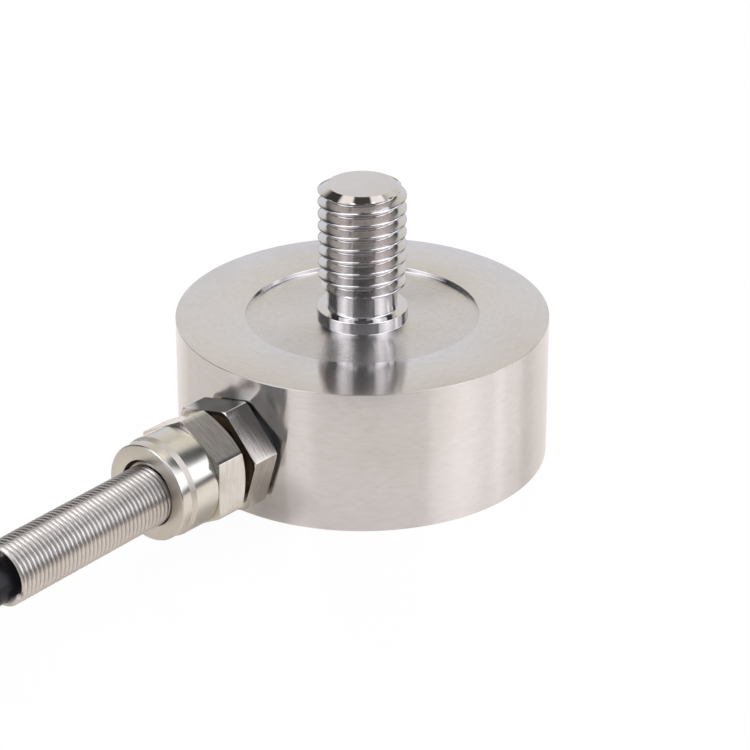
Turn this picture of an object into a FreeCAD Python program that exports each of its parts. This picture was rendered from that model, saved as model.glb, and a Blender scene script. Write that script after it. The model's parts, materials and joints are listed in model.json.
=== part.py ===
import FreeCAD, Part
import math
import os

# Round membrane load cell with one threaded stud, a side cable gland and a coiled cable.
# Millimetres. Origin at the centre of the base face, +Z up along the load axis, gland along -X.
# A distance "out" is measured along the gland's axis from the load axis.

Vector = FreeCAD.Vector
UP = Vector(0, 0, 1)
OUT = Vector(-1, 0, 0)

# Sensing body: one turned piece of stainless bar
body_diameter = 51.0
body_height = 20.0
rim_chamfer = 0.25
recess_diameter = 31.9
recess_depth = 0.6
stud_diameter = 12.0
stud_rise = 18.9
collar_step = 0.25
collar_rise = 1.1
collar_chamfer = 0.15
neck_groove = 1.2
neck_length = 2.8
neck_fillet = 0.3
thread_runout = 0.8
tip_bevel = 1.35
tip_chamfer = 0.7
cavity_diameter = 32.0
membrane_thickness = 3.2
membrane_fillet = 1.0
hub_diameter = 16.0
hub_drop = 1.7
stop_gap = 0.3

# Base plate, welded into the base, with the lower thread
plate_ledge = 2.5
plate_thickness = 3.8
plate_inset = 0.2
boss_diameter = 18.0
boss_chamfer = 0.4
tapping_diameter = 10.2
tapping_end_wall = 0.9
mouth_chamfer = 0.9
drill_angle = 118.0
weld_clearance = 0.02

# Side port for the gland
port_height = 9.24
port_seat_depth = 1.0
port_thread_depth = 5.0
passage_diameter = 4.6

# Cable gland, nickel plated brass
gland_thread_diameter = 12.0
thread_clearance = 0.05
spigot_gap = 0.5
washer_width = 0.7
washer_thickness = 1.2
hex_step = 0.83
body_hex_turn = 73.1
cap_hex_turn = 88.8
hex_chamfer_angle = 30.0
edge_break = 0.12
body_hex_length = 4.17
clamp_wall = 1.4
seal_bore_depth = 4.0
nut_gap = 1.1
cap_wall = 0.88
cap_hex_length = 4.9
cap_corner_chamfer = 0.65
cap_barrel_length = 4.0
cap_cone_length = 0.8
nose_step = 0.23
nose_length = 1.55
nose_wall = 1.2

# Gland seal and thrust washer inside the cap
cable_bore_clearance = 0.3
seal_clearance = 0.1
seal_length = 6.0
seal_taper = 1.2
thrust_thickness = 0.7
thrust_clearance = 0.15
stack_clearance = 0.2

# Bend relief spring: closed coils with one wide coil held inside the cap
wire_diameter = 0.7
cable_play = 0.9
spring_coils = 39
spring_play = 0.375
spring_rest_gap = 0.075
spring_droop = 1.5

# Cable
cable_diameter = 5.0
cable_length = 2000.0
core_diameter = 1.1
core_spacing = 1.5
jacket_inset = 2.0
arc_share = 0.45

# Coil of the stored cable, tied in two places
coil_centre = Vector(-106.0, 33.5, 0)
coil_inner_radius = 20.0
coil_columns = 3
coil_layers = 4
top_columns = 2
last_turn_start = 325.0
coil_overlap = 0.05
entry_headroom = 0.6
coil_lift_clearance = 0.1
tie_thickness = 0.8
tie_width = 4.6
tie_clearance = 0.2
tie_angles = (45.0, 222.0)
tie_head = Vector(3.4, 7.0, 5.0)

# Sleeve and bare leads at the cable's far end
sleeve_diameter = 5.5
sleeve_length = 14.0
sleeve_clearance = 0.05
lead_diameter = 1.3
lead_reach = (35.0, 37.0, 36.0, 38.0)
lead_bends = 4
lead_shift = 0.9
lead_bare_length = 5.0
lead_bare_diameter = 0.7

# Bridge inside the cavity
gauge_margin = 0.5
gauge_width = 3.6
gauge_thickness = 0.1
gauge_tab = 0.9
gauge_count = 4
first_gauge_angle = 45.0
gauge_wire_diameter = 0.3
gauge_wire_slack = 1.2
board_clearance = 0.4
board_thickness = 1.0
insulator_thickness = 0.3
joint_height = 0.7
joint_diameter = 1.5
joint_gap = 0.2
wire_joint_height = 0.4
wire_joint_diameter = 0.9
resistor_size = Vector(3.2, 1.6, 0.6)
resistor_cap_length = 0.5
resistor_cap_margin = 0.05
resistor_angles = {"zero_resistor": 0, "span_resistor": 90, "thermal_resistor": 270}
potting_clearance = 0.05
potting_inset = 0.6
core_colours = ("red", "black", "green", "white")

# Heights and radii of the body that follow from the sizes
body_radius = body_diameter / 2
cavity_radius = cavity_diameter / 2
hub_radius = hub_diameter / 2
boss_radius = boss_diameter / 2
plate_seat_radius = cavity_radius + plate_ledge
membrane_under = body_height - recess_depth - membrane_thickness
plate_top = plate_inset + plate_thickness
hub_bottom = membrane_under - hub_drop
boss_top = hub_bottom - stop_gap
gauge_length = cavity_radius - hub_radius - 2 * (membrane_fillet + gauge_margin)
gauge_radius = (cavity_radius + hub_radius) / 2
tab_radius = gauge_radius - gauge_length / 2 + gauge_tab
tab_side = gauge_width / 4
board_base = plate_top + insulator_thickness
board_top = board_base + board_thickness
board_inner_radius = boss_radius + board_clearance
board_outer_radius = cavity_radius - board_clearance

# Diameters of the gland and its spring, from the thread and the cable
across_flats = gland_thread_diameter + 2 * hex_step
hex_corner_radius = across_flats / math.sqrt(3)
port_seat_diameter = gland_thread_diameter + 2 * washer_width
spring_diameter = cable_diameter + 2 * (cable_play + wire_diameter)
spring_drop = spring_play - spring_rest_gap
nose_hole_diameter = spring_diameter + 2 * spring_play
cable_bore_diameter = cable_diameter + 2 * cable_bore_clearance
cap_bore_diameter = across_flats - 2 * cap_wall
clamp_diameter = cap_bore_diameter - 2 * thread_clearance
seal_bore_diameter = clamp_diameter - 2 * clamp_wall
spring_foot_diameter = cap_bore_diameter - 2 * (spring_play + spring_rest_gap)

# Distances out along the gland, from the body's seat to the nose and back into the cap
seat_out = body_radius - port_seat_depth
port_end_out = seat_out - port_thread_depth
spigot_end = port_end_out + spigot_gap
jacket_end = spigot_end + jacket_inset
body_hex_back = seat_out + washer_thickness
body_hex_front = body_hex_back + body_hex_length
cap_back = body_hex_front + nut_gap
cap_hex_front = cap_back + cap_hex_length
cap_barrel_front = cap_hex_front + cap_barrel_length
nose_back = cap_barrel_front + cap_cone_length
nose_front = nose_back + nose_length
cap_inner_face = nose_front - nose_wall
foot_back = cap_inner_face - stack_clearance - wire_diameter
thrust_front = foot_back - stack_clearance
seal_front = thrust_front - thrust_thickness
seal_back = seal_front - seal_length
clamp_front = seal_back + seal_bore_depth

# Radii and heights of the coil
coil_lift = tie_thickness + coil_lift_clearance
column_radii = [coil_inner_radius + (i + 0.5) * cable_diameter for i in range(coil_columns)]
coil_outer_radius = coil_inner_radius + coil_columns * cable_diameter
top_radius = coil_inner_radius + top_columns * cable_diameter
coil_shoulder = coil_lift + (coil_layers - 1) * cable_diameter
coil_top = coil_lift + coil_layers * cable_diameter
sleeve_centre_radius = top_radius + sleeve_clearance + sleeve_diameter / 2
sleeve_centre_height = coil_shoulder + sleeve_clearance + sleeve_diameter / 2


def unit(vector):
    return vector / vector.Length


def rounded_edges(points, radii):
    """Straight edges through the points, each inner corner rounded by its radius."""
    edges = []
    start = points[0]
    for before, corner, after, radius in zip(points, points[1:], points[2:], radii):
        way_in = unit(corner - before)
        way_out = unit(after - corner)
        if radius == 0:
            edges.append(Part.LineSegment(start, corner).toShape())
            start = corner
            continue
        cut = radius * math.tan(way_in.getAngle(way_out) / 2)
        inward = unit(way_out - way_in)
        enter = corner - way_in * cut
        leave = corner + way_out * cut
        middle = corner + inward * (math.hypot(radius, cut) - radius)
        edges.append(Part.LineSegment(start, enter).toShape())
        edges.append(Part.Arc(enter, middle, leave).toShape())
        start = leave
    edges.append(Part.LineSegment(start, points[-1]).toShape())
    return edges


def turned(profile, place, axis=UP):
    """Revolve a closed profile of (radius, distance along the axis, corner radius)."""
    radial = OUT if axis == UP else UP
    corners = [place + radial * r + axis * along for r, along, _ in profile]
    rounds = [corner[2] for corner in profile[1:]]
    edges = rounded_edges(corners + [corners[0]], rounds)
    return Part.Face(Part.Wire(edges)).revolve(place, axis, 360)


def sharp(profile):
    return [(r, along, 0) for r, along in profile]


def face_through(corners):
    return Part.Face(Part.makePolygon(corners + [corners[0]]))


def rod(diameter, start, finish):
    return Part.makeCylinder(diameter / 2, (finish - start).Length, start, finish - start)


def on_gland_axis(out, side=0.0, lift=0.0):
    return Vector(-out, side, port_height + lift)


def gland_turned(profile):
    """Revolve a profile of (radius, distance out) about the gland's axis."""
    return turned(sharp(profile), on_gland_axis(0), OUT)


def hexagon_bar(turn, back, front):
    """Hexagonal bar on the gland's axis; turn is one corner's angle from level towards +Z."""
    corners = []
    for i in range(6):
        angle = math.radians(turn - 60 * i)
        side = -hex_corner_radius * math.cos(angle)
        lift = hex_corner_radius * math.sin(angle)
        corners.append(on_gland_axis(back, side, lift))
    return face_through(corners).extrude(OUT * (front - back))


def cord_tube(points, diameter):
    """Tube along straight runs joined by tangent arcs, as large as the runs allow."""
    radii = []
    for before, corner, after in zip(points, points[1:], points[2:]):
        shorter = min((corner - before).Length, (after - corner).Length)
        turn = (corner - before).getAngle(after - corner)
        radii.append(arc_share * shorter / math.tan(turn / 2))
    path = Part.Wire(rounded_edges(points, radii))
    circle = Part.Circle(points[0], unit(points[1] - points[0]), diameter / 2).toShape()
    tube = path.makePipe(Part.Face(Part.Wire(circle)))
    return tube, path.Length, radii


def save(name, *solids):
    shape = solids[0] if len(solids) == 1 else Part.makeCompound(list(solids))
    bad = [solid for solid in shape.Solids if not solid.isValid() or solid.Volume <= 0]
    if bad or not shape.Solids:
        raise ValueError(name + " has a bad solid")
    shape.exportStep("parts/" + name + ".step")


def sensing_body():
    """Rim, membrane, hub, collar, neck and stud, with the side port for the gland."""
    recess_floor = body_height - recess_depth
    collar_top = body_height + collar_rise
    collar_radius = stud_diameter / 2 + collar_step
    neck_radius = stud_diameter / 2 - neck_groove
    neck_top = collar_top + neck_length
    stud_top = body_height + stud_rise
    body = turned([
        (0, hub_bottom, 0),
        (hub_radius, hub_bottom, 0),
        (hub_radius, membrane_under, membrane_fillet),
        (cavity_radius, membrane_under, membrane_fillet),
        (cavity_radius, plate_top, 0),
        (plate_seat_radius, plate_top, 0),
        (plate_seat_radius, rim_chamfer, 0),
        (plate_seat_radius + rim_chamfer, 0, 0),
        (body_radius - rim_chamfer, 0, 0),
        (body_radius, rim_chamfer, 0),
        (body_radius, body_height - rim_chamfer, 0),
        (body_radius - rim_chamfer, body_height, 0),
        (recess_diameter / 2, body_height, 0),
        (recess_diameter / 2, recess_floor, 0),
        (collar_radius, recess_floor, 0),
        (collar_radius, collar_top - collar_chamfer, 0),
        (collar_radius - collar_chamfer, collar_top, 0),
        (neck_radius, collar_top, neck_fillet),
        (neck_radius, neck_top, 0),
        (stud_diameter / 2, neck_top + thread_runout, 0),
        (stud_diameter / 2, stud_top - tip_chamfer, 0),
        (stud_diameter / 2 - tip_bevel, stud_top, 0),
        (0, stud_top, 0),
    ], Vector(0, 0, 0))
    outside = on_gland_axis(body_diameter)
    seat = rod(port_seat_diameter, on_gland_axis(seat_out), outside)
    thread_hole = rod(gland_thread_diameter + 2 * thread_clearance, on_gland_axis(port_end_out), outside)
    passage = rod(passage_diameter, on_gland_axis(cavity_radius - 2 * membrane_fillet), outside)
    return body.cut(seat).cut(thread_hole).cut(passage)


def base_plate():
    """Plate with a centre boss, drilled and tapped from below."""
    plate_radius = plate_seat_radius - weld_clearance
    hole_radius = tapping_diameter / 2
    cone_depth = hole_radius / math.tan(math.radians(drill_angle / 2))
    cone_tip = boss_top - tapping_end_wall
    return turned(sharp([
        (0, cone_tip),
        (hole_radius, cone_tip - cone_depth),
        (hole_radius, plate_inset + mouth_chamfer),
        (hole_radius + mouth_chamfer, plate_inset),
        (plate_radius - rim_chamfer, plate_inset),
        (plate_radius, plate_inset + rim_chamfer),
        (plate_radius, plate_top),
        (boss_radius, plate_top),
        (boss_radius, boss_top - boss_chamfer),
        (boss_radius - boss_chamfer, boss_top),
        (0, boss_top),
    ]), Vector(0, 0, 0))


def board_ring(base, thickness):
    """Flat ring that lies round the boss, inside the cavity."""
    return turned(sharp([
        (board_inner_radius, base),
        (board_outer_radius, base),
        (board_outer_radius, base + thickness),
        (board_inner_radius, base + thickness),
    ]), Vector(0, 0, 0))


def port_washer():
    inner = gland_thread_diameter / 2 + thread_clearance
    outer = port_seat_diameter / 2 - thread_clearance
    return gland_turned([
        (inner, seat_out), (outer, seat_out), (outer, body_hex_back), (inner, body_hex_back),
    ])


def gland_body():
    """Spigot, hexagon and clamping end, turned from hexagonal bar and bored for the cable."""
    spigot_radius = gland_thread_diameter / 2
    clamp_radius = clamp_diameter / 2
    bore = cable_bore_diameter / 2
    corner_cut = edge_break / math.tan(math.radians(hex_chamfer_angle))
    spigot = gland_turned([
        (0, spigot_end),
        (spigot_radius - edge_break, spigot_end),
        (spigot_radius, spigot_end + edge_break),
        (spigot_radius, body_hex_back),
        (0, body_hex_back),
    ])
    broken_corners = gland_turned([
        (0, body_hex_back),
        (hex_corner_radius - corner_cut, body_hex_back),
        (hex_corner_radius, body_hex_back + edge_break),
        (hex_corner_radius, body_hex_front - edge_break),
        (hex_corner_radius - corner_cut, body_hex_front),
        (0, body_hex_front),
    ])
    hexagon = hexagon_bar(body_hex_turn, body_hex_back, body_hex_front).common(broken_corners)
    clamp = gland_turned([
        (0, body_hex_front),
        (clamp_radius, body_hex_front),
        (clamp_radius, clamp_front - edge_break),
        (clamp_radius - edge_break, clamp_front),
        (0, clamp_front),
    ])
    hole = gland_turned([
        (0, spigot_end), (bore, spigot_end), (bore, seal_back),
        (seal_bore_diameter / 2, seal_back), (seal_bore_diameter / 2, clamp_front), (0, clamp_front),
    ])
    return spigot.fuse(hexagon).fuse(clamp).removeSplitter().cut(hole)


def gland_cap():
    """Clamping nut: hexagon chamfered towards the body, round barrel, cone and holed nose."""
    corner_cut = cap_corner_chamfer / math.tan(math.radians(hex_chamfer_angle))
    barrel = across_flats / 2
    nose = barrel - nose_step
    hexagon = hexagon_bar(cap_hex_turn, cap_back, cap_hex_front)
    chamfered = gland_turned([
        (0, cap_back),
        (hex_corner_radius - corner_cut, cap_back),
        (hex_corner_radius, cap_back + cap_corner_chamfer),
        (hex_corner_radius, cap_hex_front),
        (0, cap_hex_front),
    ])
    front = gland_turned([
        (0, cap_hex_front - edge_break),
        (barrel - edge_break, cap_hex_front - edge_break),
        (barrel - edge_break, cap_hex_front),
        (barrel, cap_hex_front + edge_break),
        (barrel, cap_barrel_front),
        (nose, nose_back),
        (nose, nose_front - edge_break),
        (nose - edge_break, nose_front),
        (0, nose_front),
    ])
    bore = rod(cap_bore_diameter, on_gland_axis(0), on_gland_axis(cap_inner_face))
    hole = rod(nose_hole_diameter, on_gland_axis(0), on_gland_axis(nose_front + nose_length))
    return hexagon.common(chamfered).fuse(front).removeSplitter().cut(bore).cut(hole)


def gland_seal():
    """Rubber sleeve that the cap squeezes on to the cable."""
    outer = seal_bore_diameter / 2 - seal_clearance
    inner = cable_diameter / 2 + seal_clearance
    return gland_turned([
        (inner, seal_back), (outer, seal_back), (outer, seal_front - seal_taper),
        (outer - seal_taper / 2, seal_front), (inner, seal_front),
    ])


def thrust_washer():
    inner = cable_bore_diameter / 2
    outer = cap_bore_diameter / 2 - thrust_clearance
    return gland_turned([
        (inner, seal_front), (outer, seal_front), (outer, thrust_front), (inner, thrust_front),
    ])


def bend_spring():
    """Each coil is a ridge round a thin sleeve; the foot is the wide coil behind the nose."""
    foot = spring_foot_diameter / 2
    inner = spring_diameter / 2 - wire_diameter
    valley = spring_diameter / 2 - wire_diameter / 2
    crest = spring_diameter / 2
    profile = [(inner, 0), (foot, 0), (foot, wire_diameter), (valley, wire_diameter)]
    for coil in range(spring_coils):
        start = wire_diameter * (coil + 1)
        profile += [(crest, start + wire_diameter / 2), (valley, start + wire_diameter)]
    profile.append((inner, wire_diameter * (spring_coils + 1)))
    droop = math.radians(spring_droop)
    along = Vector(-math.cos(droop), 0, -math.sin(droop))
    across = Vector(-math.sin(droop), 0, math.cos(droop))
    place = on_gland_axis(foot_back, 0, -spring_drop)
    corners = [place + across * r + along * distance for r, distance in profile]
    return face_through(corners).revolve(place, along, 360)


def coil_point(angle, radius, height):
    """A point of the coil, its angle turning clockwise from the cable's entry."""
    turn = math.radians(angle)
    return coil_centre + Vector(-radius * math.sin(turn), -radius * math.cos(turn), height)


def coil_turned(profile, start, sweep):
    """Revolve a profile of (radius, height) about the coil's axis from the start angle."""
    corners = [coil_point(start, r, z) for r, z in profile]
    return face_through(corners).revolve(coil_centre, UP * -1, sweep)


def turn_radii():
    """Radius of each whole turn, wound inwards and outwards by turns of the layers."""
    radii = []
    for layer in range(coil_layers):
        columns = column_radii if layer % 2 else column_radii[::-1]
        radii += columns[:top_columns] if layer == coil_layers - 1 else columns
    return radii


def coil_end_angle(free_length):
    """Angle where the last part turn ends, so that the whole cable has its length."""
    wound = sum(2 * math.pi * radius for radius in turn_radii())
    wound -= column_radii[-1] * math.radians(360 - last_turn_start)
    rest = cable_length - free_length - wound
    return last_turn_start - 360 + math.degrees(rest / column_radii[-1])


def cable_route():
    entry = coil_point(0, column_radii[-1], coil_lift + cable_diameter / 2)
    return [
        on_gland_axis(jacket_end),
        on_gland_axis(44.0),
        Vector(-67.5, 0.0, 7.75),
        Vector(-80.5, 0.5, 4.6),
        entry + Vector(12.5, 0, 0),
        entry,
    ]


def cable_coil(end_angle):
    """The stored cable's outer shape: stepped at the top, open where the cable comes in."""
    whole = coil_turned([
        (coil_inner_radius, coil_lift), (coil_outer_radius, coil_lift),
        (coil_outer_radius, coil_shoulder), (top_radius, coil_shoulder),
        (top_radius, coil_top), (coil_inner_radius, coil_top),
    ], 0, 360)
    part_start = last_turn_start - 360
    part_turn = coil_turned([
        (top_radius - coil_overlap, coil_shoulder - coil_overlap),
        (coil_outer_radius - coil_overlap, coil_shoulder - coil_overlap),
        (coil_outer_radius - coil_overlap, coil_top - coil_overlap),
        (top_radius - coil_overlap, coil_top - coil_overlap),
    ], part_start, end_angle - part_start)
    width = cable_diameter + 2 * coil_overlap
    corner = coil_point(0, column_radii[-1] + 1.5 * width, 0)
    channel = Part.makeBox(coil_inner_radius, 2 * width, coil_lift + width + entry_headroom, corner)
    return whole.fuse(part_turn).cut(channel)


def coil_tie(angle, end_angle):
    """One-piece cable tie pulled tight round the coil, with its head on the outside."""
    inner = coil_inner_radius - tie_clearance
    outer = coil_outer_radius + tie_clearance
    top = coil_top + tie_clearance
    t = tie_thickness
    if angle < end_angle:
        inside = [(inner, t), (outer, t), (outer, top), (inner, top)]
        outside = [(inner - t, 0), (outer + t, 0), (outer + t, top + t), (inner - t, top + t)]
    else:
        shoulder = coil_shoulder + tie_clearance
        step = top_radius + tie_clearance
        inside = [(inner, t), (outer, t), (outer, shoulder), (step, top), (inner, top)]
        outside = [(inner - t, 0), (outer + t, 0), (outer + t, shoulder + t / 2),
                   (step + t / 2, top + t), (inner - t, top + t)]
    tangent = coil_point(angle + 90, 1, 0) - coil_centre

    def slab(profile, width):
        corners = [coil_point(angle, r, z) - tangent * width / 2 for r, z in profile]
        return face_through(corners).extrude(tangent * width)

    head_low = coil_shoulder / 2
    head_out = outer + tie_head.x
    head_high = head_low + tie_head.z
    head = [(outer, head_low), (head_out, head_low), (head_out, head_high), (outer, head_high)]
    strap = slab(outside, tie_width).fuse(slab(head, tie_head.y))
    return strap.cut(slab(inside, tie_head.y)).removeSplitter()


def end_sleeve(start_angle, sweep):
    """Shrunk sleeve over the jacket's end, curved with the last turn."""
    centre = coil_point(start_angle, sleeve_centre_radius, sleeve_centre_height)
    ahead = coil_point(start_angle + 90, 1, 0) - coil_centre
    circle = Part.Circle(centre, ahead, sleeve_diameter / 2).toShape()
    return Part.Face(Part.Wire(circle)).revolve(coil_centre, UP * -1, sweep)


def core_place(index):
    """Side and lift of a core from the cable's centre."""
    return (index % 2 - 0.5) * core_spacing, (index // 2 - 0.5) * core_spacing


def bare_lead(index, start_angle):
    """A core beyond the sleeve, coming down to lie on the coil, with its tinned end."""
    side, lift = core_place(index)
    start = coil_point(start_angle, sleeve_centre_radius + side, sleeve_centre_height + lift)
    ahead = coil_point(start_angle + 90, 1, 0) - coil_centre
    run = max(lead_reach) / (lead_bends + 1)
    step = math.degrees(run / sleeve_centre_radius)
    end_step = math.degrees((lead_reach[index] - lead_bends * run) / sleeve_centre_radius)
    lane = sleeve_centre_radius + side - lead_shift
    rest_height = coil_shoulder + sleeve_clearance + lead_diameter / 2 + core_spacing * (index // 2)
    points = [start, start + ahead * run]
    points.append(coil_point(start_angle + 2 * step, lane, (start.z + rest_height) / 2))
    for bend in range(3, lead_bends + 1):
        points.append(coil_point(start_angle + bend * step, lane, rest_height))
    points.append(coil_point(start_angle + lead_bends * step + end_step, lane, rest_height))
    tube, _, _ = cord_tube(points, lead_diameter)
    last = unit(points[-1] - points[-2])
    tip = rod(lead_bare_diameter, points[-1], points[-1] + last * lead_bare_length)
    return tube.fuse(tip)


def around(angle, radius, side=0.0, height=0.0):
    """A point of the cavity at an angle about the load axis, moved sideways."""
    turn = math.radians(angle)
    return Vector(radius * math.cos(turn) - side * math.sin(turn),
                  radius * math.sin(turn) + side * math.cos(turn), height)


def turned_box(size, angle, radius, base, side=0.0):
    """A box with its x side along the radius, centred there and moved sideways."""
    box = Part.makeBox(size.x, size.y, size.z, Vector(-size.x / 2, -size.y / 2, 0))
    box.rotate(Vector(0, 0, 0), UP, angle)
    box.translate(around(angle, radius, side, base))
    return box


def tab_places():
    """Angle and side of every gauge tab, two to a gauge."""
    angles = [first_gauge_angle + index * 360 / gauge_count for index in range(gauge_count)]
    return [(angle, side) for angle in angles for side in (-tab_side, tab_side)]


def strain_gauge(index):
    """Foil gauge bonded under the membrane, with its two solder tabs."""
    angle, _ = tab_places()[2 * index]
    backing = Vector(gauge_length, gauge_width, gauge_thickness)
    tab = Vector(gauge_tab, gauge_tab, gauge_thickness)
    gauge = turned_box(backing, angle, gauge_radius, membrane_under - gauge_thickness)
    for side in (-tab_side, tab_side):
        gauge = gauge.fuse(turned_box(tab, angle, tab_radius, membrane_under - 2 * gauge_thickness, side))
    return gauge.removeSplitter()


def gauge_wire(angle, side):
    """Fine wire from a gauge's tab down to the board."""
    top = membrane_under - 2 * gauge_thickness
    bottom = board_top + wire_joint_height
    foot_radius = tab_radius + gauge_wire_slack
    points = [
        around(angle, tab_radius, side, top),
        around(angle, tab_radius, side, top - (top - bottom) / 4),
        around(angle, foot_radius, side, (top + bottom) / 2),
        around(angle, foot_radius, side, bottom),
    ]
    return cord_tube(points, gauge_wire_diameter)[0]


def core_landing(index):
    """Where a core comes down on the board: the upper pair lands nearer to the boss."""
    nearest = board_inner_radius + joint_diameter
    radius = nearest + (1 - index // 2) * (joint_diameter + joint_gap)
    side = (index % 2 - 0.5) * (joint_diameter + 2 * board_clearance)
    return Vector(-radius, side, board_top + joint_height)


def inner_core(index):
    """A core from the end of the jacket, through the passage, down to its joint."""
    side, lift = core_place(index)
    landing = core_landing(index)
    points = [
        on_gland_axis(jacket_end, side, lift),
        on_gland_axis(cavity_radius, side, lift),
        Vector(landing.x, landing.y, port_height + lift),
        landing,
    ]
    return cord_tube(points, core_diameter)[0]


def solder_joints():
    """Four joints for the cable's cores and one for each gauge wire."""
    joints = []
    for index in range(len(core_colours)):
        landing = core_landing(index)
        foot = Vector(landing.x, landing.y, board_top)
        joints.append(Part.makeCone(joint_diameter / 2, core_diameter / 2, joint_height, foot, UP))
    for angle, side in tab_places():
        foot = around(angle, tab_radius + gauge_wire_slack, side, board_top)
        joints.append(Part.makeCone(
            wire_joint_diameter / 2, gauge_wire_diameter / 2, wire_joint_height, foot, UP))
    return joints


def resistor(angle):
    """Chip resistor with metal end caps, soldered flat on the board."""
    size = resistor_size
    radius = (boss_radius + cavity_radius) / 2
    chip = turned_box(Vector(size.y, size.x, size.z), angle, radius, board_top)
    margin = resistor_cap_margin
    cap = Vector(size.y + 2 * margin, resistor_cap_length, size.z + margin)
    for end in (-1, 1):
        side = end * (size.x - resistor_cap_length) / 2
        chip = chip.fuse(turned_box(cap, angle, radius, board_top, side))
    return chip.removeSplitter()


def port_potting():
    """Sealing compound that fills the wire passage round the four cores."""
    start = cavity_radius + potting_inset
    finish = port_end_out - potting_clearance
    plug = rod(passage_diameter - 2 * potting_clearance, on_gland_axis(start), on_gland_axis(finish))
    for index in range(len(core_colours)):
        side, lift = core_place(index)
        ends = on_gland_axis(cavity_radius, side, lift), on_gland_axis(jacket_end, side, lift)
        plug = plug.cut(rod(core_diameter + 2 * potting_clearance, *ends))
    return plug


os.makedirs("parts", exist_ok=True)

save("sensing_body", sensing_body())
save("base_plate", base_plate())

for number in range(gauge_count):
    save("strain_gauge_" + str(number + 1), strain_gauge(number))
save("gauge_wires", *[gauge_wire(angle, side) for angle, side in tab_places()])
save("board_insulator", board_ring(plate_top, insulator_thickness))
save("bridge_board", board_ring(board_base, board_thickness))
save("solder_joints", *solder_joints())
for name, angle in resistor_angles.items():
    save(name, resistor(angle))
for number, colour in enumerate(core_colours):
    save("inner_core_" + colour, inner_core(number))
save("port_potting", port_potting())

save("port_washer", port_washer())
save("gland_body", gland_body())
save("gland_seal", gland_seal())
save("thrust_washer", thrust_washer())
save("gland_cap", gland_cap())
save("bend_spring", bend_spring())

cable, free_length, bend_radii = cord_tube(cable_route(), cable_diameter)
section = math.pi * cable_diameter ** 2 / 4
print("free cable length", round(free_length, 2), "radii", [round(r, 1) for r in bend_radii])
print("tube volume over section times length", round(cable.Volume / (section * free_length), 5))
save("cable", cable)
coil_end = coil_end_angle(free_length)
sleeve_sweep = math.degrees(sleeve_length / sleeve_centre_radius)
print("coil turns", len(turn_radii()), "last part turn ends at", round(coil_end, 1), "degrees")
save("cable_coil", cable_coil(coil_end))
for number, angle in enumerate(tie_angles):
    save("coil_tie_" + str(number + 1), coil_tie(angle, coil_end))
save("end_sleeve", end_sleeve(coil_end, sleeve_sweep))
for number, colour in enumerate(core_colours):
    save("lead_" + colour, bare_lead(number, coil_end + sleeve_sweep))
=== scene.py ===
import json
import math

import bmesh
import bpy
from mathutils import Matrix, Vector


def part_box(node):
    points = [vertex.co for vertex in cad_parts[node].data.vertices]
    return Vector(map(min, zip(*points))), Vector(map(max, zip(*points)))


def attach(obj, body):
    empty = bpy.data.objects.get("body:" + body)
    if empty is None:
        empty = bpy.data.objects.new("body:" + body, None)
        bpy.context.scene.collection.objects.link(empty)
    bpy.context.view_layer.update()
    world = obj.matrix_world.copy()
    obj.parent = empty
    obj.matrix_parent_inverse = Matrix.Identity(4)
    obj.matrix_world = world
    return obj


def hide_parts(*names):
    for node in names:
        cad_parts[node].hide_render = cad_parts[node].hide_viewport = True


# Tension load cell: turned stainless body with a threaded stud, side cable gland with a bend
# relief spring, and a coiled black cable. Metres, +Z up, gland along -X, as the frame is.

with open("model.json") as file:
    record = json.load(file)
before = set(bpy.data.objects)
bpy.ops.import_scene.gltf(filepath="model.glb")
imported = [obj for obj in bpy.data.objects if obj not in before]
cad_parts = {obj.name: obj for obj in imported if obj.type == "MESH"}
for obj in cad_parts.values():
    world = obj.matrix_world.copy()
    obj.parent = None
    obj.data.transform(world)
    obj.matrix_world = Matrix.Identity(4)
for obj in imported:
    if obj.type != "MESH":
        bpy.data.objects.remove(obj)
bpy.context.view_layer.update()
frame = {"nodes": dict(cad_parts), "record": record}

MM = 0.001

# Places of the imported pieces
body_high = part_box("sensing_body")[1]
plate_low, plate_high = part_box("base_plate")
cap_low, cap_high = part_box("gland_cap")
hex_low, hex_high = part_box("gland_body")
body_radius = body_high.x
port_height = (cap_low.z + cap_high.z) / 2

# Sensing body
body_height = 20.0 * MM
rim_round = 0.06 * MM
recess_radius = 15.95 * MM
recess_depth = 0.6 * MM
recess_floor_round, recess_edge_round = 0.1 * MM, 0.08 * MM
stud_radius = 6.0 * MM
collar_radius = 6.25 * MM
collar_top = 21.1 * MM
collar_round, collar_foot_round = 0.15 * MM, 0.08 * MM
neck_radius = 4.8 * MM
neck_top = 23.9 * MM
neck_round = 0.3 * MM
runout_height = 0.8 * MM
tip_radius = 4.65 * MM
tip_height = 0.7 * MM
cavity_radius = 16.0 * MM
membrane_under = 16.2 * MM
membrane_round = 1.0 * MM
hub_radius = 8.0 * MM
hub_bottom = 14.5 * MM
plate_seat_radius = 18.5 * MM
stud_thread_root = 4.83 * MM
stud_thread_pitch = 1.75 * MM
stud_thread_phase = 0.26

# Base plate with its tapped hole
plate_top = 4.0 * MM
boss_radius = 9.0 * MM
boss_round = 0.4 * MM
tapping_radius = 5.1 * MM
mouth_chamfer = 0.9 * MM
tapping_end_wall = 0.9 * MM
drill_angle = math.radians(118.0)

# Port in the body's side
port_seat_radius = 6.7 * MM
port_seat_depth = 1.0 * MM

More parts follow.
